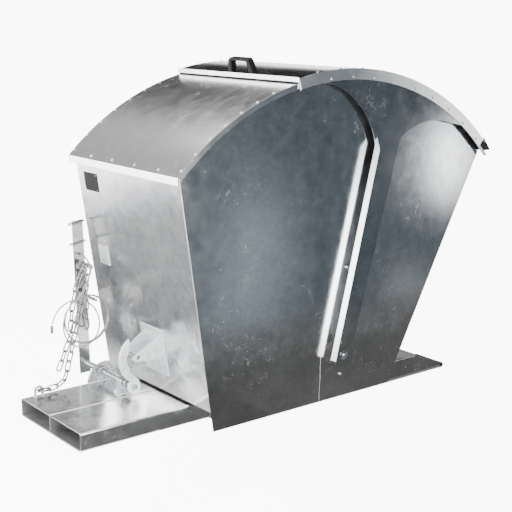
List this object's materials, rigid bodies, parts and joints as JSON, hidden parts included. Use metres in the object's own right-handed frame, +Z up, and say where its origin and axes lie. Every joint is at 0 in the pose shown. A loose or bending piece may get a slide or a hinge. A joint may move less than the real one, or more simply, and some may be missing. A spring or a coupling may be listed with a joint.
{
  "type": "self-tipping forklift container with swing lid",
  "caption": "Galvanised fork-mounted tipping container with a fixed curved roof, a swinging segment lid, and a lever latch that lets the body tip forward on its base.",
  "frame": {"origin": "floor level below the middle of the overall box", "axes": "+X towards the discharge side, opposite the fork entry; +Y towards the side with the latch lever; +Z up"},
  "size_m": [1.896, 0.804, 1.3222],
  "materials": {
    "zinc_bright": "satin",
    "zinc_dark": "satin",
    "zinc_pale": "matte",
    "bolt_steel": "satin",
    "black_plastic": "satin",
    "rubber": "matte",
    "wire_rope": "satin"
  },
  "bodies": {
    "base": {"fork_pocket_near": "zinc_bright", "fork_pocket_far": "zinc_bright", "base_rail_near": "zinc_dark", "base_rail_far": "zinc_dark", "base_outriggers": "zinc_bright", "base_deck": "zinc_bright", "nose_tube": "zinc_bright", "tip_hinge_pins": "bolt_steel", "shaft_plate_far": "zinc_bright", "shaft_bearing_near": "zinc_bright", "chain_lug": "zinc_bright", "shackle": "zinc_bright", "chain_tail": "zinc_bright"},
    "container": {"side_plate_near": "zinc_dark", "side_plate_far": "zinc_dark", "left_wall": "zinc_bright", "floor_plate": "zinc_bright", "discharge_wall": "zinc_bright", "discharge_rim": "zinc_bright", "tip_hinge_arms": "zinc_bright", "fixed_roof": "zinc_dark", "roof_edge_stiffener": "zinc_bright", "roof_rivets": "zinc_pale", "catch_plate": "zinc_bright", "catch_gussets": "zinc_bright", "catch_pin": "zinc_bright", "wall_plate": "zinc_pale", "data_plate": "black_plastic", "data_plate_rivets": "bolt_steel", "lid_guide_studs": "zinc_bright", "pivot_posts": "zinc_bright", "pivot_bushes": "zinc_bright", "pivot_bolts": "bolt_steel", "pivot_washers": "bolt_steel", "pivot_nuts": "bolt_steel"},
    "lid": {"lid_skin": "zinc_bright", "lid_side_near": "zinc_dark", "lid_side_far": "zinc_dark", "lid_front_angle": "zinc_bright", "lid_lip_seal": "rubber", "lid_top_rivets": "zinc_pale", "lid_side_rivets": "zinc_pale", "lid_handle": "black_plastic", "lid_handle_screws": "bolt_steel"},
    "latch": {"latch_shaft": "zinc_bright", "shaft_collars": "zinc_bright", "latch_hook": "zinc_pale", "release_lever": "zinc_bright", "lever_pegs": "zinc_bright", "tie_wires": "wire_rope", "chain_hank": "zinc_bright", "rope_tail": "wire_rope", "rope_coil": "wire_rope", "rope_loop": "wire_rope", "rope_ferrules": "zinc_bright"}
  },
  "joints": [
    {"name": "container_tip", "type": "hinge", "parent": "base", "child": "container", "pos_m": [0.51435, 0, 0.05], "axis": [0, 1, 0], "range_deg": [0, 85]},
    {"name": "latch_lever", "type": "hinge", "parent": "base", "child": "latch", "pos_m": [-0.60665, 0, 0.112], "axis": [0, -1, 0], "range_deg": [-1.2, 35], "deforming": ["chain_tail"]},
    {"name": "lid_swing", "type": "hinge", "parent": "container", "child": "lid", "pos_m": [0.13535, 0, 0.183], "axis": [0, -1, 0], "range_deg": [0, 42]}
  ]
}
